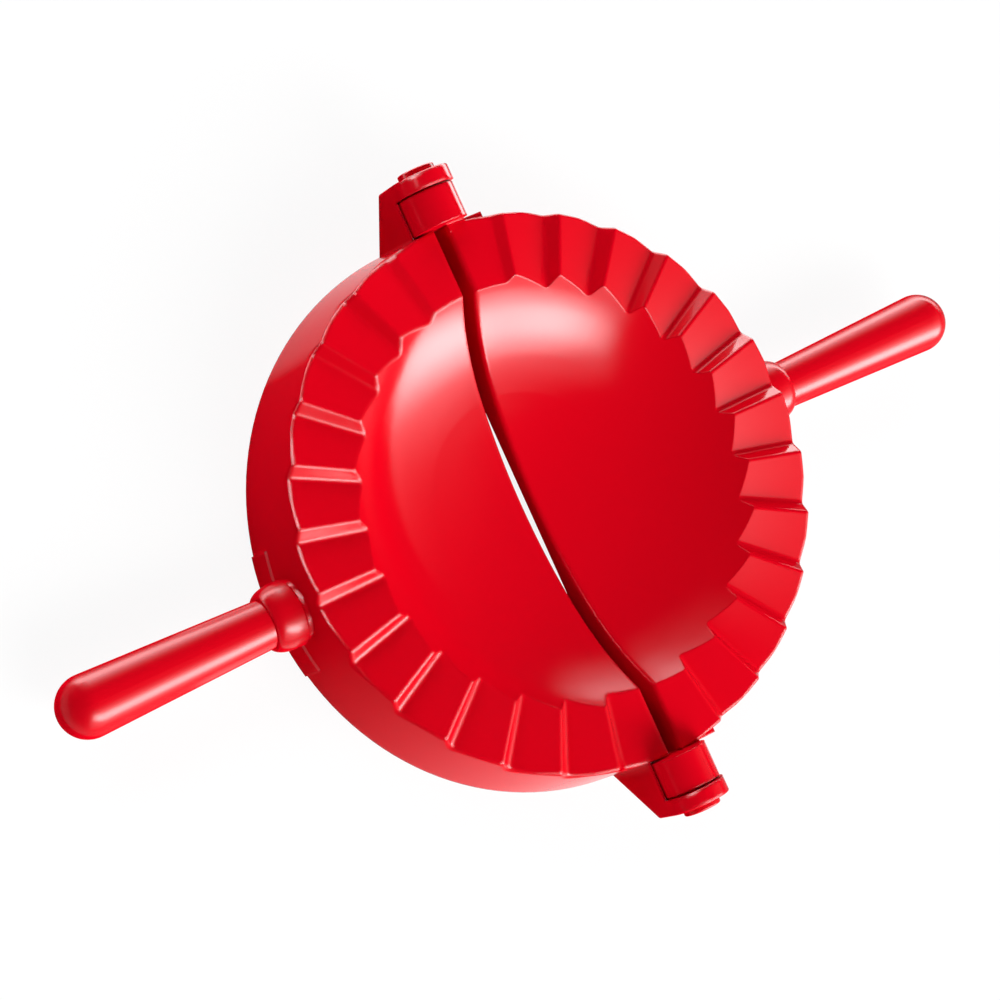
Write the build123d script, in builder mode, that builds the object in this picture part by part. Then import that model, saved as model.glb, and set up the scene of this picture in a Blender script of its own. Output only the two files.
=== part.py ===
from build123d import *
import os
from math import asin, cos, degrees, hypot, radians, sin, tan

os.makedirs("parts", exist_ok=True)

# An empanada press, open and flat on the table.  Two half dishes meet along a split and
# fold together on two hinge pins.  Each half carries a crimping rim, a skirt to stand on
# and a handle.  All sizes are millimetres.
# The origin is on the table under the middle of the press.  X runs along the handles,
# Y runs along the hinge pins and Z points up.  The right half is on +X and is the half
# that folds over.

# Crimping rim and skirt
rim_radius = 60.0
rim_height = 22.2            # table to the middle level of the pleats
rim_edge_round = 0.7
skirt_flare = 1.3            # how much wider the skirt is at the table
skirt_wall = 2.2
rim_wall = 2.2               # plastic left under the deepest valley
split_half_gap = 1.5         # centre plane to the cut face of either half
left_cut_round = 0.4         # edge of the dish and rim along the split, fixed half
right_cut_round = 1.0        # the same on the folding half
web_thickness = 2.0          # straight wall that closes each half along the split
web_lip = 1.3                # how far that wall hangs below the dish

# Pleats.  One half has thirteen steps, spaced so that fourteen pitches fill it.
pitches_per_half = 14
pleat_pitch = 180 / pitches_per_half
pleat_depth = 2.65           # valley to crest
riser_width = 2.4            # width of the steep face, measured round the rim
valley_round = 1.2
crest_round = 0.8
pleat_overrun = 3.0          # degrees that the pleats by the hinges run on past the split

# Dish
dish_mouth_radius = 46.4     # at the height of the crests
dish_depth = 16.2            # below the crests
dish_floor_angle = 14.3      # slope where the flat floor arc meets the side arc
dish_wall_angle = 46.0       # slope at the mouth
dish_wall = 2.4

# Hinges
dough_gap = 0.8              # between the two rims when the press is shut
knuckle_radius = 6.2
knuckle_gap = 0.35           # rim to knuckle
knuckle_length = 7.85
hinge_clearance = 0.3        # between faces that slide past each other
ear_radius = 6.7
ear_thickness = 3.5
ear_edge_round = 0.4
saddle_thickness = 1.5       # curved wall under the knuckle
saddle_drop = 1.0            # hinge axis down to the upper edge of the saddle
gusset_thickness = 1.5
gusset_angle = 46.0
root_bite = 1.4              # how far the hinge roots reach into the skirt wall
root_width = 9.2             # block that joins a knuckle to the skirt
root_depth = 13.0
root_step = 1.0              # the block's top sits this much below the rim

# Hinge pins
pin_radius = 2.2
pin_running_clearance = 0.05
pin_head_radius = 4.1
pin_head_height = 1.4
pin_edge_round = 0.4
pin_end_gap = 0.4            # pin tip to the bottom of its bore
bore_floor = 0.8             # plastic left behind the bore

# Handles and collars
handle_axis_height = 10.3
seat_proud = 0.7             # flat seat face outside the skirt, where a collar sits
seat_radius = 6.6
collar_radius = 7.2
collar_length = 6.6
collar_nose_length = 4.4     # rounded part of the collar next to the handle
collar_edge_round = 0.4
handle_neck_radius = 5.3
handle_end_radius = 6.65
handle_length = 47.5         # collar to the tip of a handle
tang_radius = 3.6            # part of the handle inside the collar and the skirt
tang_chamfer = 0.5
socket_radius = 5.8
socket_length = 6.0          # tube behind the skirt that grips the tang
pad_angle = 25.4             # raised pad at the foot of the skirt, under each handle
pad_height = 7.0
pad_proud = 0.4

# Sizes that follow from the ones above
cut_clear = 3.0              # how far cutting solids run past what they cut
pleat_reach = 9.0            # how far the pleats run into the dish before they fade out
crest_height = rim_height + pleat_depth / 2
rim_underside = rim_height - pleat_depth / 2 - rim_wall
riser_half_angle = degrees(riser_width / rim_radius) / 2
skirt_inner_radius = rim_radius - skirt_wall
web_underside = crest_height - dish_depth - dish_wall - web_lip
hinge_height = rim_height + dough_gap / 2
root_y = rim_radius - root_bite
knuckle_start = rim_radius + knuckle_gap
knuckle_end = knuckle_start + knuckle_length
ear_start = knuckle_end + hinge_clearance
ear_end = ear_start + ear_thickness
ear_foot = hinge_height - ear_radius
saddle_radius = knuckle_radius + hinge_clearance
saddle_edge = split_half_gap - hinge_clearance
gusset_drop = (ear_end - root_y) * tan(radians(gusset_angle))
bore_end = knuckle_start + bore_floor
table_radius = rim_radius + skirt_flare
seat_face_x = table_radius - skirt_flare * handle_axis_height / crest_height + seat_proud
socket_start = seat_face_x - skirt_wall - socket_length
collar_face_x = seat_face_x + collar_length
handle_reach = collar_face_x + handle_length


# The dish is a shallow floor arc that runs smoothly into a tighter side arc.  Both radii
# are found from the depth and width of the dish, so it keeps its shape when they change.
floor_sin = sin(radians(dish_floor_angle))
floor_cos = cos(radians(dish_floor_angle))
wall_sin = sin(radians(dish_wall_angle))
wall_cos = cos(radians(dish_wall_angle))
arc_balance = floor_sin * (floor_cos - wall_cos) - (1 - floor_cos) * (wall_sin - floor_sin)
floor_arc = dish_mouth_radius * (floor_cos - wall_cos) - dish_depth * (wall_sin - floor_sin)
floor_arc = floor_arc / arc_balance
side_arc = (dish_depth * floor_sin - dish_mouth_radius * (1 - floor_cos)) / arc_balance
floor_centre = (0, crest_height - dish_depth + floor_arc)
side_centre = (
    (floor_arc - side_arc) * floor_sin,
    floor_centre[1] - (floor_arc - side_arc) * floor_cos,
)


def dish_outline(extra):
    """Draw the dish curve from the centre outwards, moved out by extra, and return its end."""
    CenterArc(floor_centre, floor_arc + extra, -90, dish_floor_angle)
    side = CenterArc(
        side_centre,
        side_arc + extra,
        dish_floor_angle - 90,
        dish_wall_angle - dish_floor_angle,
    )
    return side @ 1


# Solid round block with the dish pressed into its top.
with BuildPart() as round_block:
    with BuildSketch(Plane.XZ):
        with BuildLine():
            mouth = dish_outline(0)
            Polyline(
                mouth,
                (rim_radius, crest_height),
                (table_radius, 0),
                (0, 0),
                (0, crest_height - dish_depth),
            )
        make_face()
    revolve(axis=Axis.Z)

# The hollow under the rim and the dish.
with BuildPart() as underside:
    with BuildSketch(Plane.XZ):
        with BuildLine():
            Polyline(
                (0, 0),
                (table_radius - skirt_wall, 0),
                (skirt_inner_radius, rim_underside),
                (0, rim_underside),
                close=True,
            )
        make_face()
    revolve(axis=Axis.Z)
    with BuildSketch(Plane.XZ):
        with BuildLine():
            bulge = dish_outline(dish_wall)
            Polyline(
                bulge,
                (0, bulge.Y),
                (0, crest_height - dish_depth - dish_wall),
            )
        make_face()
    revolve(axis=Axis.Z, mode=Mode.SUBTRACT)


# The top of a pleat runs level from the dish outwards, turns down over the rounded outer
# edge and leaves the rim steeply.  Each stop is a distance from the centre and a drop.
def rim_stop(turn):
    """One stop on the rounded edge, after it has turned down by an angle."""
    inset = rim_edge_round * (1 - sin(radians(turn)))
    return (rim_radius - inset, rim_edge_round * (1 - cos(radians(turn))))


edge_stops = [rim_stop(turn) for turn in (0, 30, 60)]
last_inset = rim_radius - edge_stops[-1][0]
exit_slope = (rim_edge_round - edge_stops[-1][1]) / last_inset
exit_drop = edge_stops[-1][1] + exit_slope * (last_inset + cut_clear)
rim_stops = [
    (dish_mouth_radius - pleat_reach, 0),
    *edge_stops,
    (rim_radius + cut_clear, exit_drop),
]


def above_pleats(steps):
    """Cutter that clears everything above one stretch of the rim.

    Each step is an angle round the rim and a height above or below the middle level.  The
    same steps are drawn at every stop across the rim, and joined with straight lines that
    all point at the centre of the press.
    """
    with BuildPart() as cutter:
        for radius, drop in rim_stops:
            level = Plane((radius, 0, rim_height - drop), (0, 1, 0), (1, 0, 0))
            with BuildSketch(level) as section:
                floor = [(radius * tan(radians(angle)), height) for angle, height in steps]
                with BuildLine():
                    top = cut_clear + drop
                    Polyline(*floor, (floor[-1][0], top), (floor[0][0], top), close=True)
                make_face()
                for before, bend, after in zip(floor, floor[1:], floor[2:]):
                    slope_in = (bend[1] - before[1]) / (bend[0] - before[0])
                    slope_out = (after[1] - bend[1]) / (after[0] - bend[0])
                    corner = section.vertices().sort_by_distance((*bend, 0))[0]
                    fillet(corner, valley_round if slope_out > slope_in else crest_round)
        loft(ruled=True)
    return cutter.part


# A pleat drops from its crest to a valley and then climbs gently to the next crest.  Next
# to the hinges the steps fade out, so that the halves also meet there when shut.
crest = pleat_depth / 2
valley = -pleat_depth / 2
half_pitch = pleat_pitch / 2
past_split = pleat_pitch + pleat_overrun
fade = crest * (past_split - pleat_pitch) / (pleat_pitch - riser_half_angle)
pleat = above_pleats(
    [(-half_pitch, 0), (-riser_half_angle, crest), (riser_half_angle, valley), (half_pitch, 0)]
)
right_rear_pleat = above_pleats(
    [(-half_pitch, 0), (-riser_half_angle, crest), (riser_half_angle, 0), (past_split, 0)]
)
right_front_pleat = above_pleats(
    [(-past_split, -fade), (-riser_half_angle, crest), (riser_half_angle, valley), (half_pitch, 0)]
)
left_rear_pleat = above_pleats(
    [(-past_split, 0), (-riser_half_angle, 0), (riser_half_angle, valley), (half_pitch, 0)]
)
left_front_pleat = above_pleats(
    [(-half_pitch, 0), (-riser_half_angle, crest), (riser_half_angle, valley), (past_split, fade)]
)


def is_cut_edge(edge):
    """True where the dish or the top of the rim meets the cut face along the split."""
    points = [edge @ 0, edge @ 0.5, edge @ 1]
    beside_split = all(abs(abs(point.X) - split_half_gap) < 0.01 for point in points)
    return beside_split and all(
        web_underside + dish_wall / 2 < point.Z and abs(point.Y) < table_radius for point in points
    )


def half_blank(side, rear_pleat, front_pleat):
    """One half shell with its pleats and hollow, before hinges and handle seat are added."""
    with BuildPart() as hollow:
        add(underside.part)
        web_face = Plane.YZ.offset(side * (split_half_gap + web_thickness))
        split(bisect_by=web_face, keep=Keep.TOP if side > 0 else Keep.BOTTOM)
    with BuildPart() as blank:
        add(round_block.part)
        cut_face = Plane.YZ.offset(side * split_half_gap)
        split(bisect_by=cut_face, keep=Keep.TOP if side > 0 else Keep.BOTTOM)
        add(hollow.part, mode=Mode.SUBTRACT)
        with Locations((side * (split_half_gap + web_thickness / 2), 0, 0)):
            Box(
                web_thickness,
                2 * skirt_inner_radius,
                web_underside,
                align=(Align.CENTER, Align.CENTER, Align.MIN),
                mode=Mode.SUBTRACT,
            )
        full_pleats = pitches_per_half - 3
        last_pleat = pitches_per_half - 2
        start = 90 + 2 * pleat_pitch if side < 0 else 90 - last_pleat * pleat_pitch
        with PolarLocations(0, full_pleats, start, (full_pleats - 1) * pleat_pitch, endpoint=True):
            add(pleat, mode=Mode.SUBTRACT)
        with PolarLocations(0, 1, 90 - side * pleat_pitch):
            add(rear_pleat, mode=Mode.SUBTRACT)
        with PolarLocations(0, 1, 90 - side * (pitches_per_half - 1) * pleat_pitch):
            add(front_pleat, mode=Mode.SUBTRACT)
        fillet(blank.edges().filter_by(is_cut_edge), left_cut_round if side < 0 else right_cut_round)
    return blank.part


# Each end of the left half carries a bracket.  A saddle runs out from the skirt under the
# knuckle, on two gussets, and carries an ear that holds the pin.  Sections across the hinge
# are drawn looking along its axis, with the left half to the right.
with BuildPart() as hinge_brackets:
    with BuildSketch(Plane.YZ.offset(-ear_radius)):
        with BuildLine():
            Polyline(
                (root_y, ear_foot - gusset_drop),
                (ear_end, ear_foot),
                (ear_end, hinge_height - saddle_drop),
                (root_y, hinge_height - saddle_drop),
                close=True,
            )
        make_face()
    extrude(amount=gusset_thickness)
    with BuildSketch(Plane.YZ.offset(-split_half_gap)):
        with BuildLine():
            Polyline(
                (root_y, ear_foot - gusset_drop),
                (ear_end, ear_foot),
                (root_y, ear_foot),
                close=True,
            )
        make_face()
    extrude(amount=-gusset_thickness)
    with BuildSketch(Plane((0, root_y, hinge_height), (-1, 0, 0), (0, 1, 0))):
        Circle(saddle_radius + saddle_thickness)
        with Locations((-saddle_edge, -saddle_drop)):
            Rectangle(
                saddle_edge + ear_radius,
                2 * saddle_radius,
                align=(Align.MIN, Align.MAX),
                mode=Mode.INTERSECT,
            )
    extrude(amount=ear_start + ear_thickness / 2 - root_y)
    with BuildSketch(Plane((0, root_y, hinge_height), (-1, 0, 0), (0, 1, 0))):
        Circle(saddle_radius)
    extrude(amount=ear_start - root_y, mode=Mode.SUBTRACT)
    with BuildSketch(Plane((0, ear_start, hinge_height), (-1, 0, 0), (0, 1, 0))):
        Circle(ear_radius)
        Rectangle(ear_radius, ear_radius, align=(Align.MIN, Align.MAX))
    extrude(amount=ear_thickness)
    ear_edges = hinge_brackets.faces().sort_by(Axis.Y)[-1].edges()
    fillet(ear_edges.filter_by(lambda edge: (edge @ 0.5).Z > ear_foot + ear_edge_round), ear_edge_round)
    with BuildSketch(Plane((0, ear_start, hinge_height), (-1, 0, 0), (0, 1, 0))):
        Circle(pin_radius)
    extrude(amount=ear_thickness, mode=Mode.SUBTRACT)
    mirror(about=Plane.XZ)

# The flared skirt is cut back a little where the flat end of a knuckle turns past it.
with BuildPart() as knuckle_relief:
    relief_y = knuckle_start - hinge_clearance
    with BuildSketch(Plane((0, relief_y, hinge_height), (-1, 0, 0), (0, 1, 0))):
        Circle(saddle_radius)
    extrude(amount=knuckle_length)
    mirror(about=Plane.XZ)

# Each end of the right half carries a knuckle that turns inside the bracket.  It grows out
# of the rim through a neck and a wider root block, both clear of the split.
with BuildPart() as hinge_knuckles:
    with BuildSketch(Plane((0, knuckle_start, hinge_height), (-1, 0, 0), (0, 1, 0))):
        Circle(knuckle_radius)
    extrude(amount=knuckle_length)
    fillet(hinge_knuckles.faces().sort_by(Axis.Y)[-1].edges(), hinge_clearance)
    root_x = split_half_gap + hinge_clearance
    with BuildSketch(Plane((0, root_y, hinge_height), (-1, 0, 0), (0, 1, 0))):
        Circle(knuckle_radius)
        with Locations((-root_x, rim_height - hinge_height)):
            Rectangle(
                2 * knuckle_radius,
                2 * knuckle_radius,
                align=(Align.MAX, Align.MAX),
                mode=Mode.INTERSECT,
            )
    extrude(amount=knuckle_start - root_y)
    with Locations((root_x, root_y, rim_height - root_step)):
        Box(
            root_width,
            knuckle_start - root_y,
            root_depth,
            align=(Align.MIN, Align.MIN, Align.MAX),
        )
    with BuildSketch(Plane((0, bore_end, hinge_height), (-1, 0, 0), (0, 1, 0))):
        Circle(pin_radius + pin_running_clearance)
    extrude(amount=knuckle_end - bore_end, mode=Mode.SUBTRACT)
    mirror(about=Plane.XZ)


# Under each handle the skirt has a flat round seat outside, a socket tube inside and a
# slightly raised pad at its foot.  This is the set for the right half.
with BuildPart() as handle_seat:
    with BuildSketch(Plane.XZ.rotated((0, 0, -pad_angle / 2))):
        foot_slope = skirt_flare / crest_height * pad_height
        with BuildLine():
            Polyline(
                (rim_radius, 0),
                (table_radius + pad_proud, 0),
                (table_radius + pad_proud - foot_slope, pad_height - pad_proud),
                (table_radius - foot_slope, pad_height),
                (rim_radius, pad_height),
                close=True,
            )
        make_face()
    revolve(axis=Axis.Z, revolution_arc=pad_angle)
    with BuildSketch(Plane((0, 0, handle_axis_height), (0, 1, 0), (1, 0, 0)).offset(seat_face_x)):
        Circle(collar_radius)
    extrude(amount=cut_clear, mode=Mode.SUBTRACT)
    with BuildSketch(Plane((0, 0, handle_axis_height), (0, 1, 0), (1, 0, 0)).offset(seat_face_x)):
        Circle(seat_radius)
    extrude(amount=-skirt_wall)
    with BuildSketch(Plane((0, 0, handle_axis_height), (0, 1, 0), (1, 0, 0)).offset(socket_start)):
        Circle(socket_radius)
    extrude(amount=socket_length)

# The bore for a handle's tang, through the seat and the socket behind it.
with BuildPart() as tang_bore:
    with BuildSketch(Plane((0, 0, handle_axis_height), (0, 1, 0), (1, 0, 0)).offset(socket_start)):
        Circle(tang_radius)
    extrude(amount=seat_face_x - socket_start)

with BuildPart() as left_shell:
    add(half_blank(-1, left_rear_pleat, left_front_pleat))
    mirror(handle_seat.part, about=Plane.YZ)
    mirror(tang_bore.part, about=Plane.YZ, mode=Mode.SUBTRACT)
    add(knuckle_relief.part, mode=Mode.SUBTRACT)
    add(hinge_brackets.part)

with BuildPart() as right_shell:
    add(half_blank(1, right_rear_pleat, right_front_pleat))
    add(handle_seat.part)
    add(tang_bore.part, mode=Mode.SUBTRACT)
    add(hinge_knuckles.part)

# A collar covers the joint between skirt and handle.  Its nose is rounded off towards the
# handle and it sits flat on the seat.
handle_axis = Axis((0, 0, handle_axis_height), (1, 0, 0))
with BuildPart() as right_collar:
    with BuildSketch(Plane((0, 0, handle_axis_height), (1, 0, 0), (0, -1, 0))) as collar_section:
        nose_x = collar_face_x - collar_nose_length
        with BuildLine():
            nose = EllipticalCenterArc(
                (nose_x, handle_neck_radius),
                collar_nose_length,
                collar_radius - handle_neck_radius,
                start_angle=0,
                arc_size=90,
            )
            Polyline(
                nose @ 1,
                (seat_face_x, collar_radius),
                (seat_face_x, tang_radius),
                (collar_face_x, tang_radius),
                nose @ 0,
            )
        make_face()
        seat_corner = (seat_face_x, collar_radius, 0)
        fillet(collar_section.vertices().sort_by_distance(seat_corner)[0], collar_edge_round)
    revolve(axis=handle_axis)

with BuildPart() as left_collar:
    add(right_collar.part)
    mirror(about=Plane.YZ, mode=Mode.REPLACE)

# A handle is a round rod that widens a little towards a half-ball end.  The straight side
# touches the ball at the tangent point, and a thin tang carries on into the socket.
with BuildPart() as right_handle:
    ball_x = handle_reach - handle_end_radius
    side_reach = hypot(ball_x - collar_face_x, handle_neck_radius)
    widening = asin(handle_end_radius / side_reach) - asin(handle_neck_radius / side_reach)
    with BuildSketch(Plane((0, 0, handle_axis_height), (1, 0, 0), (0, -1, 0))) as handle_section:
        with BuildLine():
            ball = CenterArc((ball_x, 0), handle_end_radius, 0, 90 + degrees(widening))
            Polyline(
                ball @ 1,
                (collar_face_x, handle_neck_radius),
                (collar_face_x, tang_radius),
                (socket_start, tang_radius),
                (socket_start, 0),
                ball @ 0,
            )
        make_face()
        tang_corner = (socket_start, tang_radius, 0)
        chamfer(handle_section.vertices().sort_by_distance(tang_corner)[0], tang_chamfer)
    revolve(axis=handle_axis)

with BuildPart() as left_handle:
    add(right_handle.part)
    mirror(about=Plane.YZ, mode=Mode.REPLACE)

# A hinge pin is pushed through the ear from outside until its head meets the ear.
with BuildPart() as rear_pin:
    with BuildSketch(Plane((0, 0, hinge_height), (0, 1, 0), (1, 0, 0))) as pin_section:
        with BuildLine():
            Polyline(
                (bore_end + pin_end_gap, 0),
                (bore_end + pin_end_gap, pin_radius),
                (ear_end, pin_radius),
                (ear_end, pin_head_radius),
                (ear_end + pin_head_height, pin_head_radius),
                (ear_end + pin_head_height, 0),
                close=True,
            )
        make_face()
        tip_corner = (bore_end + pin_end_gap, pin_radius, 0)
        chamfer(pin_section.vertices().sort_by_distance(tip_corner)[0], pin_edge_round)
        head_corner = (ear_end + pin_head_height, pin_head_radius, 0)
        fillet(pin_section.vertices().sort_by_distance(head_corner)[0], pin_edge_round)
    revolve(axis=Axis((0, 0, hinge_height), (0, 1, 0)))

with BuildPart() as front_pin:
    add(rear_pin.part)
    mirror(about=Plane.XZ, mode=Mode.REPLACE)

left_shell.part.label = "left_shell"
export_step(left_shell.part, "parts/left_shell.step")
right_shell.part.label = "right_shell"
export_step(right_shell.part, "parts/right_shell.step")
left_collar.part.label = "left_collar"
export_step(left_collar.part, "parts/left_collar.step")
right_collar.part.label = "right_collar"
export_step(right_collar.part, "parts/right_collar.step")
left_handle.part.label = "left_handle"
export_step(left_handle.part, "parts/left_handle.step")
right_handle.part.label = "right_handle"
export_step(right_handle.part, "parts/right_handle.step")
front_pin.part.label = "front_pin"
export_step(front_pin.part, "parts/front_pin.step")
rear_pin.part.label = "rear_pin"
export_step(rear_pin.part, "parts/rear_pin.step")
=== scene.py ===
# %% [markdown]
# # A glossy red empanada press
#
# This notebook dresses a plastic press for stuffed dough: two hinged half dishes with a
# pleated crimping rim, and a rod handle on each half.  The shapes come from the CAD model,
# so the work here is the look of moulded plastic, a quiet studio and a camera.

# %% Load the press
import math

import bpy
from mathutils import Matrix, Vector

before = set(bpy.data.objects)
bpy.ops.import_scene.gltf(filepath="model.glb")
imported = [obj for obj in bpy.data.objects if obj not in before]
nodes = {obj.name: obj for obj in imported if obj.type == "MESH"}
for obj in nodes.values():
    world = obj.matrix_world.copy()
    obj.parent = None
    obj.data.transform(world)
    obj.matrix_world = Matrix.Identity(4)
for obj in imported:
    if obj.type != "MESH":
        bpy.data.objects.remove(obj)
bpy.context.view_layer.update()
print("pieces:", sorted(nodes))

# %% [markdown]
# ## Nodes
#
# Every finish below is a small graph of shader nodes.  They could be placed by hand in the
# shader editor, but written down they stay exact and can be reused.  The helpers here each
# add one kind of node and feed it.  An input takes either a number or another node's output.


# %% Node helpers
def add_node(tree, kind, **sockets):
    """Add a node and set the input sockets that are named, with underscores for spaces."""
    node = tree.nodes.new(kind)
    for name, value in sockets.items():
        node.inputs[name.replace("_", " ")].default_value = value
    return node


def feed(tree, value, socket):
    """Give an input socket a number, or a link from another node's output."""
    if isinstance(value, (int, float)):
        socket.default_value = value
    else:
        tree.links.new(value, socket)


def link_math(tree, operation, first, second=None):
    """Add a Math node that works on one or two values."""
    node = add_node(tree, "ShaderNodeMath")
    node.operation = operation
    feed(tree, first, node.inputs[0])
    if second is not None:
        feed(tree, second, node.inputs[1])
    return node.outputs["Value"]


def rescale(tree, value, start=0.0, end=1.0, low=0.0, high=1.0, smooth=False):
    """Turn the range from start to end into low to high, and hold the ends outside it."""
    ramp = add_node(tree, "ShaderNodeMapRange")
    ramp.interpolation_type = "SMOOTHSTEP" if smooth else "LINEAR"
    limits = {"Value": value, "From Min": start, "From Max": end, "To Min": low, "To Max": high}
    for name, number in limits.items():
        feed(tree, number, ramp.inputs[name])
    return ramp.outputs["Result"]


def smooth_step(tree, value, start, end):
    """Go smoothly from 0 at start to 1 at end.  An end below the start makes a falling step."""
    return rescale(tree, value, start, end, smooth=True)


def split_xyz(tree, vector):
    """The three parts of a vector, as outputs named X, Y and Z."""
    parts = add_node(tree, "ShaderNodeSeparateXYZ")
    tree.links.new(vector, parts.inputs["Vector"])
    return parts.outputs


def length_of(tree, vector):
    """Length of a vector, which is a distance from the origin when it is a place."""
    node = add_node(tree, "ShaderNodeVectorMath")
    node.operation = "LENGTH"
    tree.links.new(vector, node.inputs[0])
    return node.outputs["Value"]


def noise(tree, place, scale, detail):
    """Noise that is fixed to the piece, with its scale in spots per metre."""
    spots = add_node(tree, "ShaderNodeTexNoise", Scale=scale, Detail=detail)
    tree.links.new(place.outputs["Object"], spots.inputs["Vector"])
    return spots.outputs["Fac"]


print("helpers: add_node, feed, link_math, rescale, smooth_step, split_xyz, length_of, noise")

# %% [markdown]
# ## The red
#
# The whole press is moulded in one bright plastic.  Under the gloss the colour is a deep,
# nearly pure red, and it drifts a little from place to place, as pigment does in a
# moulding.  One plain red looks like a computer picture, and a painted image would need an
# unwrapped mesh.  A slow noise that mixes two close reds needs neither.

# %% Drifting red
RED = (0.550, 0.0003, 0.0076)           # linear red, green and blue
DEEP_RED = (0.515, 0.0002, 0.0060)
DRIFT_SCALE = 18.0


def drifting_red(tree, place):
    """Colour that drifts between the two reds."""
    red = add_node(tree, "ShaderNodeMix")
    red.data_type = "RGBA"
    red.inputs["A"].default_value = (*DEEP_RED, 1.0)
    red.inputs["B"].default_value = (*RED, 1.0)
    tree.links.new(noise(tree, place, DRIFT_SCALE, detail=2.0), red.inputs["Factor"])
    return red.outputs["Result"]


print("the red drifts between", DEEP_RED, "and", RED)

# %% [markdown]
# ## Satin walls
#
# Walls that stand upright leave the mould sliding along its steel.  That takes the mirror
# polish off them, so the skirt, the brackets and the faces of the split are satin, while
# everything that lies flatter is glossy.  Each wall could get a material of its own, but the
# rounded edges pass from one finish to the other without a border.  So the shader finds the
# walls by the direction that the surface faces.  It reads it in the piece's own space, and
# the finish stays put when a half folds.
#
# Near its ends the skirt keeps a little gloss, and this is a painted sheen: it is placed along the
# hinge axis where a pink reflection should show on the skirt beside the handles. A colour ramp
# along the hinge axis holds those levels, and it counts only as far out as the skirt lies.

# %% Satin walls
MM = 0.001
GLOSSY = 0.5                    # specular level of a polished plastic
SATIN = 0.0005
SKIRT_RADIUS = 59.2 * MM        # everything further from the middle is skirt
SKIRT_REACH = 65 * MM           # the ramp runs this far to either side along the hinge axis
# painted sheen: gloss levels placed along the hinge axis where a reflection should show on the
# skirt
SKIRT_PAINTED_SHEEN = [                 # place along the hinge axis in millimetres, specular level
    (-62, 0.0),
    (-58, 0.022),
    (-44, 0.022),
    (-10, 0.0),
    (45, 0.0),
    (48, 0.016),
    (57, 0.016),
    (61, 0.0),
]


def skirt_painted_sheen(tree, place):
    """Specular level of the skirt, a painted sheen placed along the hinge axis, and 0 nearer to
    the middle.
    """
    where = split_xyz(tree, place.outputs["Object"])
    along = rescale(tree, where["Y"], -SKIRT_REACH, SKIRT_REACH)
    levels = add_node(tree, "ShaderNodeValToRGB")
    # A new ramp has one stop at each end.  The first one is used, and the last one goes.
    stops = levels.color_ramp.elements
    for number, (distance, level) in enumerate(SKIRT_PAINTED_SHEEN):
        position = (distance * MM + SKIRT_REACH) / (2 * SKIRT_REACH)
        stop = stops[number] if number < 1 else stops.new(position)
        stop.position = position
        stop.color = (level, level, level, 1.0)
    stops.remove(stops[-1])
    tree.links.new(along, levels.inputs["Fac"])
    from_axis = add_node(tree, "ShaderNodeCombineXYZ")
    tree.links.new(where["X"], from_axis.inputs["X"])
    tree.links.new(where["Y"], from_axis.inputs["Y"])
    radius = length_of(tree, from_axis.outputs["Vector"])
    outside = smooth_step(tree, radius, SKIRT_RADIUS - MM, SKIRT_RADIUS)
    return link_math(tree, "MULTIPLY", levels.outputs["Color"], outside)


def wall_gloss(tree, place, steep, gentle, is_shell):
    """Specular level: SATIN where the surface is steep, GLOSSY where it is gentle."""
    facing = split_xyz(tree, place.outputs["Normal"])
    upward = link_math(tree, "ABSOLUTE", facing["Z"])
    flat = smooth_step(tree, upward, steep, gentle)
    # on the shells the satin level also carries the skirt's painted sheen
    least = link_math(tree, "ADD", skirt_painted_sheen(tree, place), SATIN) if is_shell else SATIN
    return rescale(tree, flat, low=least, high=GLOSSY)


print("specular level", SATIN, "on walls and", GLOSSY, "on flatter faces")

# %% [markdown]
# ## Edges and waves
#
# Every moulded edge is a little round and draws a fine bright line, and the surface keeps
# faint waves from its cooling.  Fillets can't follow the pleats where they run out, and
# waves of two hundredths of a millimetre are too fine for a mesh.  The Bevel node rounds
# the edges for the light alone, and a weak bump on top of it makes the waves.

# %% Edges and waves
WAVE_SCALE = 90.0
WAVE_HEIGHT = 0.02 * MM
WAVE_STRENGTH = 0.25
EDGE_SAMPLES = 6


def moulded_surface(tree, place, edge_round):
    """Normal of a surface with rounded edges and faint waves."""
    edge = add_node(tree, "ShaderNodeBevel", Radius=edge_round)
    edge.samples = EDGE_SAMPLES
    ripple = add_node(tree, "ShaderNodeBump", Strength=WAVE_STRENGTH, Distance=WAVE_HEIGHT)
    tree.links.new(noise(tree, place, WAVE_SCALE, detail=2.0), ripple.inputs["Height"])
    tree.links.new(edge.outputs["Normal"], ripple.inputs["Normal"])
    return ripple.outputs["Normal"]


print("waves up to", WAVE_HEIGHT / MM, "mm high")

# %% [markdown]
# ## The finished plastic
#
# A Principled shader puts the parts together.  Its base gives the red, and the white
# highlights are lamps mirrored in it.  The roughness drifts a little too, because the polish
# of a used press is uneven.  The two shells differ only in how softly their edges turn.  The
# collars, handles and pins are less polished.

# %% Moulded plastic
WIPE_SCALE = 60.0


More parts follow.
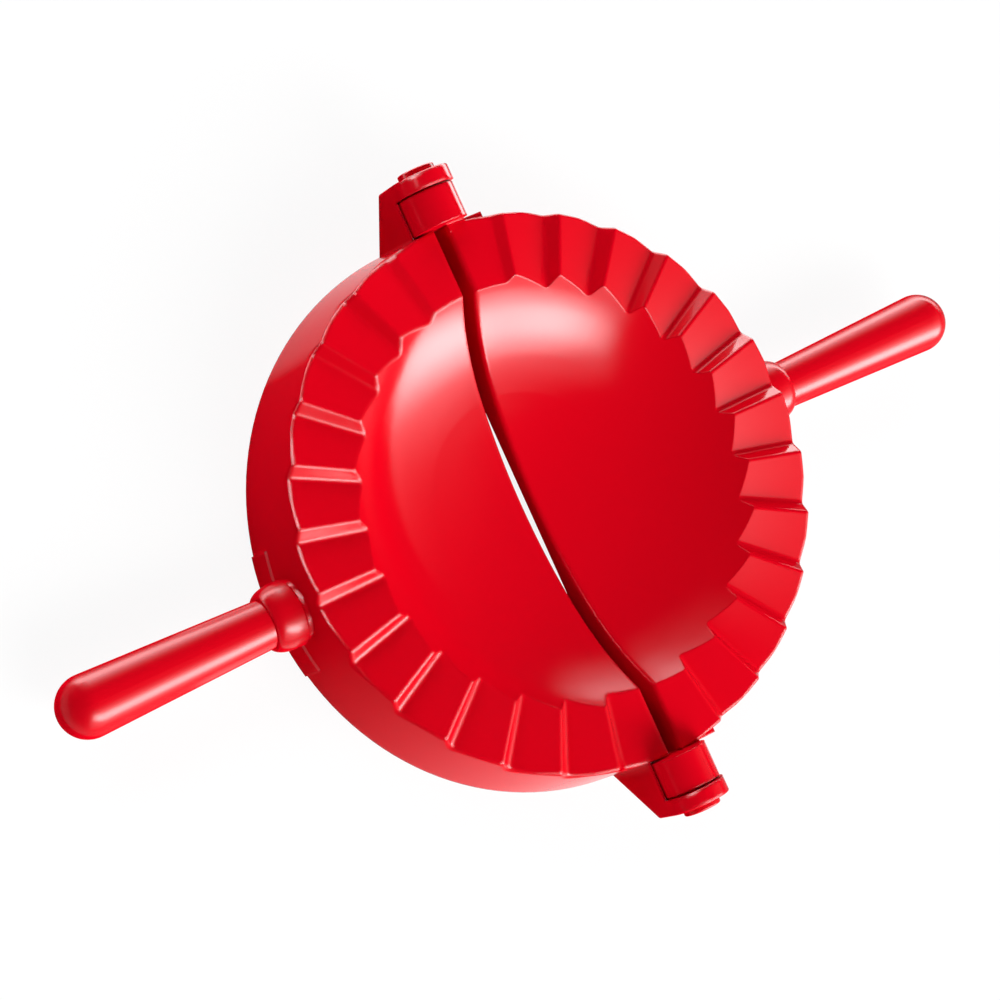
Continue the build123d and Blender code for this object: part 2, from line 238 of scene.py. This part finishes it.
def moulded_plastic(name, edge_round, polish, steep, gentle, is_shell):
    """Glossy red plastic whose sharp edges catch the light over a width of edge_round.

    The roughness drifts over the range in polish.  A surface whose upward part is under
    steep is a satin wall, and one over gentle has the full gloss.
    """
    material = bpy.data.materials.new(name)
    material.use_nodes = True
    tree = material.node_tree
    tree.nodes.clear()
    link = tree.links.new
    output = add_node(tree, "ShaderNodeOutputMaterial")
    plastic = add_node(tree, "ShaderNodeBsdfPrincipled", IOR=1.5)
    place = add_node(tree, "ShaderNodeTexCoord")
    wipe = noise(tree, place, WIPE_SCALE, detail=4.0)
    rough = rescale(tree, wipe, low=polish[0], high=polish[1])
    shine = wall_gloss(tree, place, steep, gentle, is_shell)
    link(drifting_red(tree, place), plastic.inputs["Base Color"])
    link(rough, plastic.inputs["Roughness"])
    link(shine, plastic.inputs["Specular IOR Level"])
    link(moulded_surface(tree, place, edge_round), plastic.inputs["Normal"])
    link(plastic.outputs["BSDF"], output.inputs["Surface"])
    return material


shell_finish = {"polish": (0.10, 0.15), "steep": 0.40, "gentle": 0.58, "is_shell": True}
small_part_finish = {"polish": (0.20, 0.26), "steep": 0.30, "gentle": 0.45, "is_shell": False}
plastics = {
    "left_shell": moulded_plastic("left_shell_plastic", 1.2 * MM, **shell_finish),
    "right_shell": moulded_plastic("right_shell_plastic", 0.5 * MM, **shell_finish),
}
small_part_plastic = moulded_plastic("small_part_plastic", 0.2 * MM, **small_part_finish)
for name, node in nodes.items():
    node.data.materials.clear()
    node.data.materials.append(plastics.get(name, small_part_plastic))
    print(name, "wears", node.data.materials[0].name)

# %% [markdown]
# ## Floor
#
# The press lies on a plain white table, which a plane stands for.  A curved backdrop would
# also do, but its bend mirrors in the gloss, and the edge of a small plane shows in low
# views.  So the plane is very large.

# %% Floor
FLOOR_SIZE = 80.0               # metres, so that its far edge never shows
FLOOR_DROP = 0.05 * MM          # a hair under the skirt, so that the two don't flicker
bpy.ops.mesh.primitive_plane_add(size=FLOOR_SIZE, location=(0, 0, -FLOOR_DROP))
floor = bpy.context.object
floor.name = "floor"
print("floor", FLOOR_SIZE, "m across")

# %% [markdown]
# ## What the plastic mirrors in the floor
#
# Behind the press the floor mirrors as bright as a white card under a lamp, which draws the
# long upper streak on the handles.  In front it mirrors dark, as a black cloth would, so the
# low sides stay red.  A real card or cloth would show in other views, so these two are only
# in the light that the floor gives to glossy rays.  The card stops short of the tip of the
# left handle, and it has a gap beside the rear hinge, whose small faces would turn pale.

# %% Card and cloth
CARD_GLEAM = 6.4
CLOTH_GLEAM = 0.12
UNDER_PRESS = (78 * MM, 85 * MM)        # plain floor within this distance of the middle
CARD_FRONT = (18 * MM, 60 * MM)         # along Y, the card comes in over this range
CARD_SIDE = (-122 * MM, -104 * MM)      # and along X
GAP_LEFT = (-10 * MM, -30 * MM)         # to the left of the gap the card is whole again,
GAP_RIGHT = (70 * MM, 85 * MM)          # and to its right
GAP_BACK = (85 * MM, 105 * MM)          # and behind it


def floor_gleam(tree, place):
    """How bright the floor looks in the plastic: a card behind, a dark cloth in front."""
    where = split_xyz(tree, place.outputs["Object"])
    behind = smooth_step(tree, where["Y"], *CARD_FRONT)
    beside = smooth_step(tree, where["X"], *CARD_SIDE)
    card = link_math(tree, "MULTIPLY", behind, beside)
    left_of_gap = smooth_step(tree, where["X"], *GAP_LEFT)
    right_of_gap = smooth_step(tree, where["X"], *GAP_RIGHT)
    behind_gap = smooth_step(tree, where["Y"], *GAP_BACK)
    either_side = link_math(tree, "MAXIMUM", left_of_gap, right_of_gap)
    clear = link_math(tree, "MAXIMUM", either_side, behind_gap)
    card = link_math(tree, "MULTIPLY", card, clear)
    mirrored = rescale(tree, card, low=CLOTH_GLEAM, high=CARD_GLEAM)
    distance = length_of(tree, place.outputs["Object"])
    away = smooth_step(tree, distance, *UNDER_PRESS)
    return rescale(tree, away, low=1.0, high=mirrored)


print("the floor gleams", CARD_GLEAM, "behind the press and", CLOTH_GLEAM, "in front")

# %% [markdown]
# ## The floor's finish
#
# The paint is matt and catches the shadow, but lit by these lamps alone it looks grey.  More
# light would make it white, and would wash out the press as well.  So the floor mixes its
# paint with a glow, and Light Path tells the rays apart: the camera sees mostly the glow,
# diffuse rays see only the paint, and glossy rays meet the card and the cloth.  The glow
# isn't sampled as a lamp, because rays that come that way wouldn't be told apart.

# %% Pale floor
FLOOR_PAINT = 0.80
GLOW_NEAR = 0.90                # share of the glow beside the press, where the shadow lies
GLOW_RANGE = (0.08, 0.30)       # metres from the middle, over which it grows to the whole


def floor_material():
    """Pale matt floor with a glow of its own, so that the shadow of the press stays light."""
    material = bpy.data.materials.new("pale_floor")
    material.use_nodes = True
    material.cycles.emission_sampling = "NONE"
    tree = material.node_tree
    tree.nodes.clear()
    link = tree.links.new
    output = add_node(tree, "ShaderNodeOutputMaterial")
    matt = add_node(tree, "ShaderNodeBsdfDiffuse", Color=(FLOOR_PAINT,) * 3 + (1.0,))
    plain = add_node(tree, "ShaderNodeEmission", Color=(1.0, 1.0, 1.0, 1.0))
    place = add_node(tree, "ShaderNodeTexCoord")
    distance = length_of(tree, place.outputs["Object"])
    far = rescale(tree, distance, *GLOW_RANGE, low=GLOW_NEAR, smooth=True)
    ray = add_node(tree, "ShaderNodeLightPath")
    gleam = floor_gleam(tree, place)
    glow = rescale(tree, ray.outputs["Is Glossy Ray"], low=1.0, high=gleam)
    link(glow, plain.inputs["Strength"])
    seen = rescale(tree, ray.outputs["Is Diffuse Ray"], low=1.0, high=0.0)
    mix = add_node(tree, "ShaderNodeMixShader")
    link(link_math(tree, "MULTIPLY", far, seen), mix.inputs["Fac"])
    link(matt.outputs["BSDF"], mix.inputs[1])
    link(plain.outputs["Emission"], mix.inputs[2])
    link(mix.outputs["Shader"], output.inputs["Surface"])
    return material


floor.data.materials.append(floor_material())
print("floor wears", floor.data.materials[0].name)

# %% [markdown]
# ## Softboxes
#
# A small glossy object is lit by what it mirrors, so a lamp's shape and its fading edges are
# as important as its strength.  A softbox here is an area lamp that is placed as the press
# sees it, by azimuth and elevation, with its size in degrees.  Its light fades across it
# through nodes in the lamp itself, which is what diffuser cloth does to a real one.


# %% Softbox
def direction(azimuth, elevation):
    """Unit vector towards an azimuth and elevation in degrees."""
    turn, rise = math.radians(azimuth), math.radians(elevation)
    level = math.cos(rise)
    return Vector((level * math.cos(turn), level * math.sin(turn), math.sin(rise)))


def look_back(away, roll):
    """Turn of a lamp or camera that stands in the direction away and looks back, rolled."""
    upright = away.to_track_quat("Z", "Y").to_matrix().to_4x4()
    return upright @ Matrix.Rotation(math.radians(roll), 4, "Z")


def fade(tree, value, low_edge, high_edge):
    """Rise from 0 at one edge of the lamp to 1, and fall back to 0 at the other edge."""
    rise = smooth_step(tree, value, 0.0, low_edge)
    fall = smooth_step(tree, value, 1.0, 1.0 - high_edge)
    return link_math(tree, "MULTIPLY", rise, fall)


def softbox(
    name, azimuth, elevation, roll, width, height, radiance, soft_x, soft_y, fall=0.0, distance=1.4
):
    """Rectangular lamp seen from the press at an azimuth and elevation, sizes in degrees.

    Its light fades towards the edges, over the shares of its width and height in soft_x and
    soft_y.  Along the width it also falls to nothing, faster where fall is greater.
    """
    lamp = bpy.data.lights.new(name, "AREA")
    lamp.shape = "RECTANGLE"
    lamp.size = 2 * distance * math.tan(math.radians(width) / 2)
    lamp.size_y = 2 * distance * math.tan(math.radians(height) / 2)
    lamp.energy = math.pi * lamp.size * lamp.size_y * radiance
    lamp.use_nodes = True
    tree = lamp.node_tree
    place = add_node(tree, "ShaderNodeNewGeometry")
    across = split_xyz(tree, place.outputs["Parametric"])
    faded_x = fade(tree, across["X"], *soft_x)
    faded_y = fade(tree, across["Y"], *soft_y)
    faded = link_math(tree, "MULTIPLY", faded_x, faded_y)
    dying = link_math(tree, "POWER", link_math(tree, "SUBTRACT", 1.0, across["X"]), fall)
    strength = link_math(tree, "MULTIPLY", faded, dying)
    tree.links.new(strength, tree.nodes["Emission"].inputs["Strength"])
    box = bpy.data.objects.new(name, lamp)
    bpy.context.scene.collection.objects.link(box)
    away = direction(azimuth, elevation)
    box.matrix_world = Matrix.Translation(distance * away) @ look_back(away, roll)
    print(name, "covers", width, "x", height, "degrees")
    return box


# %% [markdown]
# ## Lamps for the highlights
#
# Each of these lamps is shaped for the highlight that it leaves.  The key stands low in
# front and rakes across both dishes, with a faint spill round it.  The panel has a hard
# lower edge, and its light dies away sideways: it makes the lens with a crisp rim in the
# left dish.  Two lamps behind light the bottoms of the dishes and the handles.

# %% Lamps for the highlights
softbox(
    "key_softbox", azimuth=-62.9, elevation=27.5, roll=-35.1, width=95.1, height=37.3,
    radiance=17.9, soft_x=(0.344, 0.321), soft_y=(0.43, 0.494), fall=0.77,
)
softbox(
    "panel", azimuth=-16.05, elevation=38.8, roll=21.8, width=95.5, height=53.6,
    radiance=22.5, soft_x=(0.29, 0.98), soft_y=(0.10, 0.49), fall=5.54,
)
softbox(
    "key_spill", azimuth=-71.4, elevation=20.7, roll=-22.0, width=93.8, height=93.1,
    radiance=2.28, soft_x=(0.16, 0.56), soft_y=(0.775, 0.392),
)
softbox(
    "rear_softbox", azimuth=61.7, elevation=10.3, roll=-14.2, width=51.6, height=39.6,
    radiance=5.0, soft_x=(0.40, 0.325), soft_y=(0.38, 0.98),
)
softbox(
    "rear_glow", azimuth=85.6, elevation=16.9, roll=5.7, width=39.9, height=54.4,
    radiance=2.83, soft_x=(0.07, 0.045), soft_y=(0.16, 0.98), fall=1.04,
)

# %% [markdown]
# ## Fills and edge light
#
# The two fills only light the red itself.  Glossy rays pass them by, and with multiple
# importance sampling off no trace of them is left in the highlights.  The edge light does
# the opposite.  It is hidden from diffuse rays and falls on the left shell alone, and it
# draws the fine bright line in which the left rim and its pleats end.

# %% Fills and edge light
rear_fill = softbox(
    "rear_fill", azimuth=95, elevation=29, roll=0, width=100, height=50,
    radiance=3.5, soft_x=(0.20, 0.20), soft_y=(0.30, 0.30),
)
front_fill = softbox(
    "front_fill", azimuth=-105, elevation=18, roll=0, width=100, height=30,
    radiance=1.3, soft_x=(0.20, 0.20), soft_y=(0.30, 0.30),
)
for lamp in (rear_fill, front_fill):
    lamp.visible_glossy = False
    lamp.data.cycles.use_multiple_importance_sampling = False

edge_light = softbox(
    "edge_light", azimuth=130, elevation=38, roll=0, width=54, height=40,
    radiance=14.0, soft_x=(0.1, 0.1), soft_y=(0.2, 0.2),
)
edge_light.visible_diffuse = False
edge_pieces = bpy.data.collections.new("edge_light_falls_on")
edge_pieces.objects.link(nodes["left_shell"])
edge_light.light_linking.receiver_collection = edge_pieces

# %% [markdown]
# ## Room
#
# The rest of the room is nearly dark, so that nothing but the lamps and the floor shows in
# the gloss.  The camera alone sees it white, past the end of the floor.  The Standard view
# keeps colours as they are written.

# %% Room
ROOM_LIGHT = 0.012
ROOM_SEEN = 1.0
world = bpy.data.worlds.new("dim_room")
bpy.context.scene.world = world
world.use_nodes = True
room = world.node_tree.nodes["Background"]
room.inputs["Color"].default_value = (1.0, 1.0, 1.0, 1.0)
seen_by = add_node(world.node_tree, "ShaderNodeLightPath")
camera_ray = seen_by.outputs["Is Camera Ray"]
white = rescale(world.node_tree, camera_ray, low=ROOM_LIGHT, high=ROOM_SEEN)
world.node_tree.links.new(white, room.inputs["Strength"])
bpy.context.scene.view_settings.view_transform = "Standard"
print("room light", ROOM_LIGHT)

# %% [markdown]
# ## Camera
#
# The press is seen steeply from above, from the side of the fixed handle, and the camera is
# rolled so that the handles run from lower left to upper right.  A long lens from over half
# a metre keeps the round rim from looking stretched.

# %% Camera
LOOK_AT = Vector((-0.0134, 0.0032, 0.0222))
CAMERA_DISTANCE = 0.6266
CAMERA_AZIMUTH = 178.51
CAMERA_ELEVATION = 63.07
CAMERA_ROLL = 67.03
LENS = 108.743
SENSOR = 36.0

camera_data = bpy.data.cameras.new("camera")
camera_data.lens = LENS
camera_data.sensor_width = SENSOR
camera = bpy.data.objects.new("camera", camera_data)
bpy.context.scene.collection.objects.link(camera)
back = direction(CAMERA_AZIMUTH, CAMERA_ELEVATION)
stand = Matrix.Translation(LOOK_AT + back * CAMERA_DISTANCE)
camera.matrix_world = stand @ look_back(back, CAMERA_ROLL)
bpy.context.scene.camera = camera
print("camera at", [round(x, 5) for x in camera.matrix_world.translation])
